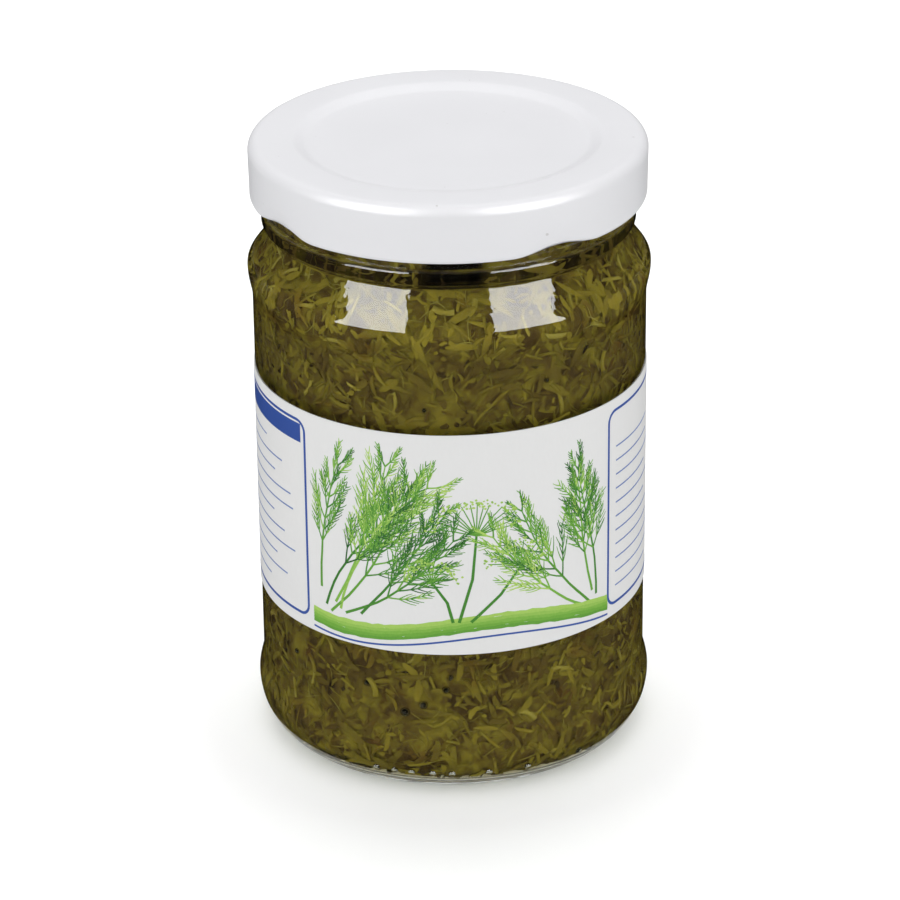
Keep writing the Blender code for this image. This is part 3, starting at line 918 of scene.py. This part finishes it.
class Print:
    """Flat strokes of ink laid on the label as thin closed ribbons, each with its own tone."""

    def __init__(self):
        self.build = bmesh.new()
        self.tone = self.build.verts.layers.float.new("tone")

    def rows(self, points, widths, tone, lift, befores, afters):
        """Four points at each point of a line, across the way from the one before to the one after."""
        made = []
        for (x, y), (x0, y0), (x1, y1), width in zip(points, befores, afters, widths):
            length = math.hypot(x1 - x0, y1 - y0) or 1.0
            nx, ny = -(y1 - y0) / length * width / 2, (x1 - x0) / length * width / 2
            row = [
                self.build.verts.new(on_label(x + side * nx, y + side * ny, up))
                for side, up in ((-1, -0.01), (1, -0.01), (1, lift), (-1, lift))]
            for vert in row:
                vert[self.tone] = tone
            made.append(row)
        return made

    def bridge(self, lows, highs):
        for low, high in zip(lows, highs):
            for k in range(4):
                self.build.faces.new((low[k], low[(k + 1) % 4], high[(k + 1) % 4], high[k]))

    def stroke(self, points, widths, tone, lift=0.02):
        """points are (along, height); widths are full widths at them."""
        points, widths = close_steps(points, widths)
        rows = self.rows(points, widths, tone, lift, points[:1] + points[:-1], points[1:] + points[-1:])
        self.bridge(rows, rows[1:])
        self.build.faces.new(rows[0][::-1])
        self.build.faces.new(rows[-1])

    def loop(self, points, width, tone, lift=0.02):
        """A closed outline."""
        widths = [width] * len(points)
        rows = self.rows(points, widths, tone, lift, points[-1:] + points[:-1], points[1:] + points[:1])
        self.bridge(rows, rows[1:] + rows[:1])

    def done(self, name, look):
        return finished(name, self.build, look, sharp=30)


def frond(sheet, draw, start, heading, length, curl, tone, width, order):
    """A feathery dill leaf: a bent rib with finer ribs off both sides, down to threads."""
    x, y = start
    pieces = (11, 7, 3)[order]
    points, widths = [(x, y)], [width]
    for i in range(pieces):
        heading += curl / pieces + draw.uniform(-0.07, 0.07)
        x += math.cos(heading) * length / pieces
        y += math.sin(heading) * length / pieces
        points.append((x, y))
        share = (i + 1) / pieces
        widths.append(width * (1 - 0.6 * share))
        if order < 2 and i > (2 if order == 0 else 0):
            for side in (-1, 1):
                part = (0.36, 0.42)[order] * length * (1.2 - 0.75 * share) * draw.uniform(0.75, 1.2)
                frond(sheet, draw, (x, y), heading + side * draw.uniform(0.4, 0.8), part, -side * 0.35,
                      limited(tone + draw.uniform(-0.3, 0.3)), width * (0.6, 0.75)[order], order + 1)
    if min(p[1] for p in points) > 0.6 and max(p[1] for p in points) < LABEL_HIGH_Z - LABEL_LOW_Z - 0.6:
        sheet.stroke(points, widths, tone, 0.015 + 0.004 * order)


def umbel(sheet, draw, start, top, spread, rays):
    """A dill flower: thin rays that open from the stem's end, each with a few dots at its tip."""
    bend = ((start[0] + top[0]) / 2 + 0.8, (start[1] + top[1]) / 2)
    sheet.stroke([start, bend, top], [0.55, 0.5, 0.4], 0.3)
    for i in range(rays):
        heading = math.radians(90 + 75 * (2 * i / (rays - 1) - 1)) + draw.uniform(-0.06, 0.06)
        length = spread * draw.uniform(0.85, 1.1)
        tip = (top[0] + length * math.cos(heading), top[1] + length * math.sin(heading) * 0.8)
        middle = ((top[0] + tip[0]) / 2, (top[1] + tip[1]) / 2 + 0.25)
        sheet.stroke([top, middle, tip], [0.22, 0.2, 0.16], 0.45, 0.018)
        for k in range(7):
            a, reach = draw.uniform(0, math.tau), draw.uniform(0.2, 1.0)
            x, y = tip[0] + reach * math.cos(a), tip[1] + reach * math.sin(a)
            size, tone = draw.uniform(0.3, 0.5), draw.uniform(0.75, 1.0)
            sheet.stroke([(x - size / 2, y), (x, y), (x + size / 2, y)], [0.14, size, 0.14], tone, 0.024)


def rounded(x0, x1, y0, y1, corner, steps=6, longest=1.5):
    """A rectangle with round corners, in short steps."""
    points = []
    for cx, cy, first in ((x1 - corner, y0 + corner, -90), (x1 - corner, y1 - corner, 0),
                          (x0 + corner, y1 - corner, 90), (x0 + corner, y0 + corner, 180)):
        points += arc(cx, cy, corner, corner, first, first + 90, steps + 1)
    dense = []
    for (xa, ya), (xb, yb) in zip(points, points[1:] + points[:1]):
        parts = max(1, int(math.hypot(xb - xa, yb - ya) / longest))
        dense += [(xa + (xb - xa) * k / parts, ya + (yb - ya) * k / parts) for k in range(parts)]
    return dense


def wave(x, base, swing):
    """The height of a wavy line."""
    return base + swing * math.sin(0.115 * x + 0.6)


# Leaves: start, heading in radians, length, curl, tone. Flowers: start, top, spread, rays.
LEAVES = (
    ((-23.0, 6.0), 1.25, 27.0, -0.5, 0.2), ((-22.0, 5.0), 0.75, 30.0, 0.5, 0.5),
    ((-21.0, 7.0), 1.0, 29.0, 0.2, 0.7), ((-24.0, 9.0), 1.6, 24.0, -0.4, 0.45),
    ((-19.0, 5.5), 0.45, 25.0, 0.55, 0.35), ((-20.0, 6.0), 1.35, 30.0, -0.7, 0.8),
    ((-16.0, 6.0), 0.9, 24.0, 0.3, 0.25), ((25.5, 5.0), 2.3, 25.0, -0.45, 0.4),
    ((24.0, 5.0), 2.75, 24.0, -0.6, 0.65), ((26.0, 7.0), 1.85, 22.0, -0.2, 0.55),
    ((27.0, 6.0), 1.5, 25.0, 0.25, 0.3))
FLOWERS = (
    ((1.0, 6.0), (4.0, 22.0), 7.5, 15), ((3.0, 6.0), (11.5, 15.5), 5.5, 12),
    ((0.0, 6.0), (-3.5, 13.5), 4.5, 10))


def make_print(green, blue):
    """A plain pattern of dill leaves and flowers over a wavy band, between two ruled panels."""
    draw = random.Random(12)
    band = Print()
    across = [-26.0 + 1.1 * k for k in range(52)]
    for k in range(5):
        lift = 0.008 + 0.002 * k
        band.stroke([(x, wave(x, 3.3 + 0.55 * k, 1.5) + draw.uniform(-0.08, 0.08)) for x in across],
                    [draw.uniform(0.5, 0.85) for _ in across], 0.5 + 0.1 * k, lift)
    leaves = Print()
    for start, heading, length, curl, tone in LEAVES:
        frond(leaves, draw, start, heading, length, curl, tone, 0.5, 0)
    for start, top, spread, rays in FLOWERS:
        umbel(leaves, draw, start, top, spread, rays)
    frames = Print()
    for x0, x1 in ((-56.0, -27.3), (30.2, 58.0)):
        frames.loop(rounded(x0, x1, 2.2, 38.2, 2.0), 0.5, 0.3)
        for k in range(11):
            end = draw.uniform(0.55, 0.97)
            steps = [x0 + 2.2 + (x1 - x0 - 4.4) * end * i / 16 for i in range(17)]
            frames.stroke([(x, 5.4 + 2.6 * k) for x in steps], [0.28] * 17, 0.9, 0.012)
    bar = [-55.0 + 26.7 * i / 16 for i in range(17)]
    frames.stroke([(x, 35.9) for x in bar], [3.4] * 17, 0.15, 0.016)
    frames.stroke([(x, wave(x, 1.9, 1.3)) for x in across], [0.34] * len(across), 0.4, 0.02)
    return (
        band.done("wavy_band", green), leaves.done("leaf_print", green), frames.done("frame_print", blue))


# Stage


def make_stage():
    """The floor under the jar and its rim shows in the glass of the heel. The rest is not mirrored in it. Round
    the jar and under it the floor glows, painted light that lightens the contact shadow and stands for light
    passed through the filling.
    """
    look = Finish("pale_floor", Roughness=0.9, Specular_IOR_Level=0.0, Emission_Strength=1.0)
    where = look.place()
    reach = look.node("ShaderNodeVectorMath", {"operation": "LENGTH"}, {0: where}).other("Value")
    # Painted light: the floor glows with a greenish light that fades out from the jar, lightening its contact
    # shadow.
    glow = ((0.0, 0.24), (0.2, 0.11), (0.42, 0.01), (0.75, 0.03), (1.0, 0.06))
    look.feed("Emission Color", look.ramp(
        (reach - GLOW_FROM) / GLOW_OVER,
        *((share, (0.93 * light, light, 0.9 * light, 1)) for share, light in glow)))
    look.feed("Base Color", look.mix(look.speckle(where, 6.0), grey(0.985), grey(1.0)))
    # Painted light under the jar: a cream glow and a cream colour, standing for light passed through the filling.
    painted_glow_floor = Finish("floor_lit_through_jar", Roughness=0.9, Specular_IOR_Level=0.0,
                 Emission_Strength=UNDER_GLOW, Emission_Color=colour(214, 202, 166))
    cloud = painted_glow_floor.speckle(painted_glow_floor.place(), 60.0)
    painted_glow_floor.feed("Base Color", painted_glow_floor.mix(cloud, colour(226, 220, 200), colour(236, 231, 214)))
    for name, start, end, finish in (
            ("floor_under_jar", 0, BEARING_SIGHT_R, painted_glow_floor), ("floor_at_heel", BEARING_SIGHT_R, HEEL_SIGHT_R, look),
            ("floor_around", HEEL_SIGHT_R, GROUND_R, look)):
        build = bmesh.new()
        turn(build, [(start, GROUND_Z), (end, GROUND_Z)], 96, closed=False)
        floor = finished(name, build, finish.material, sharp=0)
        if floor.data.polygons[0].normal.z < 0:
            floor.data.flip_normals()
        floor.visible_glossy = name != "floor_around"
    world = bpy.data.worlds.new("soft_studio")
    world.use_nodes = True
    sky = Graph(world.node_tree)
    height = sky.height(sky.node("ShaderNodeTexCoord").other("Generated"))
    bright = sky.ramp(height, (0.0, grey(0.68)), (0.35, grey(0.74)), (0.9, grey(1.0)))
    background = world.node_tree.nodes["Background"]
    world.node_tree.links.new(bright.socket, background.inputs["Color"])
    background.inputs["Strength"].default_value = WORLD_LIGHT
    bpy.context.scene.world = world
    world.cycles_visibility.glossy = False


def soft_light(name, azimuth, elevation, distance, size, power, diffuse=True, mirrored=True):
    """A rectangular light that looks at the jar. Azimuth 0 is in front of the label, positive to its right."""
    data = bpy.data.lights.new(name, "AREA")
    data.shape = "RECTANGLE"
    data.size, data.size_y = size
    data.energy = power
    lamp = shown(name, data)
    a, e = math.radians(azimuth), math.radians(elevation)
    away = Vector((math.sin(a) * math.cos(e), -math.cos(a) * math.cos(e), math.sin(e)))
    lamp.location = Vector((0, 0, 0.07)) + away * distance
    lamp.rotation_euler = away.to_track_quat("Z", "Y").to_euler()
    lamp.visible_diffuse = diffuse
    lamp.visible_transmission = diffuse
    lamp.visible_glossy = mirrored
    return lamp


def upright_window(name, azimuth):
    """A tall panel of light in front of the jar, leaning outwards a little, which shows only as a reflection."""
    distance, width, low, high = 0.9, 0.68, 0.15, 2.0
    lamp = soft_light(name, azimuth, 0.0, distance, (width, high - low), WINDOW_POWER, diffuse=False)
    lamp.location.z = (low + high) / 2
    outwards = math.copysign(math.radians(7.5), azimuth)
    lamp.rotation_euler = (lamp.rotation_euler.to_matrix() @ Matrix.Rotation(-outwards, 3, "Z")).to_euler()
    across = Vector((math.cos(math.radians(azimuth)), math.sin(math.radians(azimuth)), 0))
    lamp.location += across * math.tan(outwards) * (high - low) / 2


def make_camera():
    """The camera at the photograph's angle: 25 degrees down on the front, with a slight roll."""
    data = bpy.data.cameras.new("camera")
    data.sensor_width = 36.0
    data.lens = 161.82
    data.clip_end = 20.0
    camera = shown("camera", data)
    tilt, roll, distance = math.radians(25.0), 0.0111, 0.6972
    forward = Vector((0, math.cos(tilt), -math.sin(tilt)))
    upward = Vector((0, math.sin(tilt), math.cos(tilt)))
    across = Vector((1, 0, 0))
    target = Vector((-0.00022, 0, 0.0493))
    side = across * math.cos(roll) - upward * math.sin(roll)
    over = across * math.sin(roll) + upward * math.cos(roll)
    frame_of_view = Matrix((side, over, -forward)).transposed().to_4x4()
    camera.matrix_world = Matrix.Translation(target - forward * distance) @ frame_of_view
    bpy.context.scene.camera = camera


def main():
    make_camera()
    make_stage()
    upright_window("left_window", -43.5)
    upright_window("right_window", 43.5)
    soft_light("overhead", 180.0, 62.0, 1.0, (0.9, 0.6), OVERHEAD_POWER, mirrored=False)
    bpy.context.scene.view_settings.view_transform = "Standard"

    jar = make_jar(clear_glass(), clear_glass("wetted_glass", GLASS_IOR / BRINE_IOR))
    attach(jar, "jar")
    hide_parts("glass_jar")
    brine = make_brine(yellow_brine(), yellow_brine("brine_at_glass", NO_STEP))
    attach(brine, "jar")
    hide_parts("brine")
    core = make_core(packed_dill())
    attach(core, "jar")
    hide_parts("chopped_dill")
    for bits in make_filling():
        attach(bits, "jar")
    label = make_label(label_paper())
    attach(label, "jar")
    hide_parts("label")
    green = ink("green_ink", shades(
        (0.0, 34, 96, 30), (0.3, 62, 134, 36), (0.65, 112, 172, 52), (1.0, 172, 205, 96)))
    blue = ink("blue_ink", shades((0.0, 34, 70, 150), (0.5, 48, 84, 164), (1.0, 112, 136, 186)))
    for marks in make_print(green, blue):
        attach(marks, "jar")
    lid = make_lid(white_enamel())
    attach(lid, "lid")
    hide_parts("lid")
    ring = frame["nodes"]["sealing_ring"]
    ring.data.materials.clear()
    ring.data.materials.append(sealing_compound())


main()
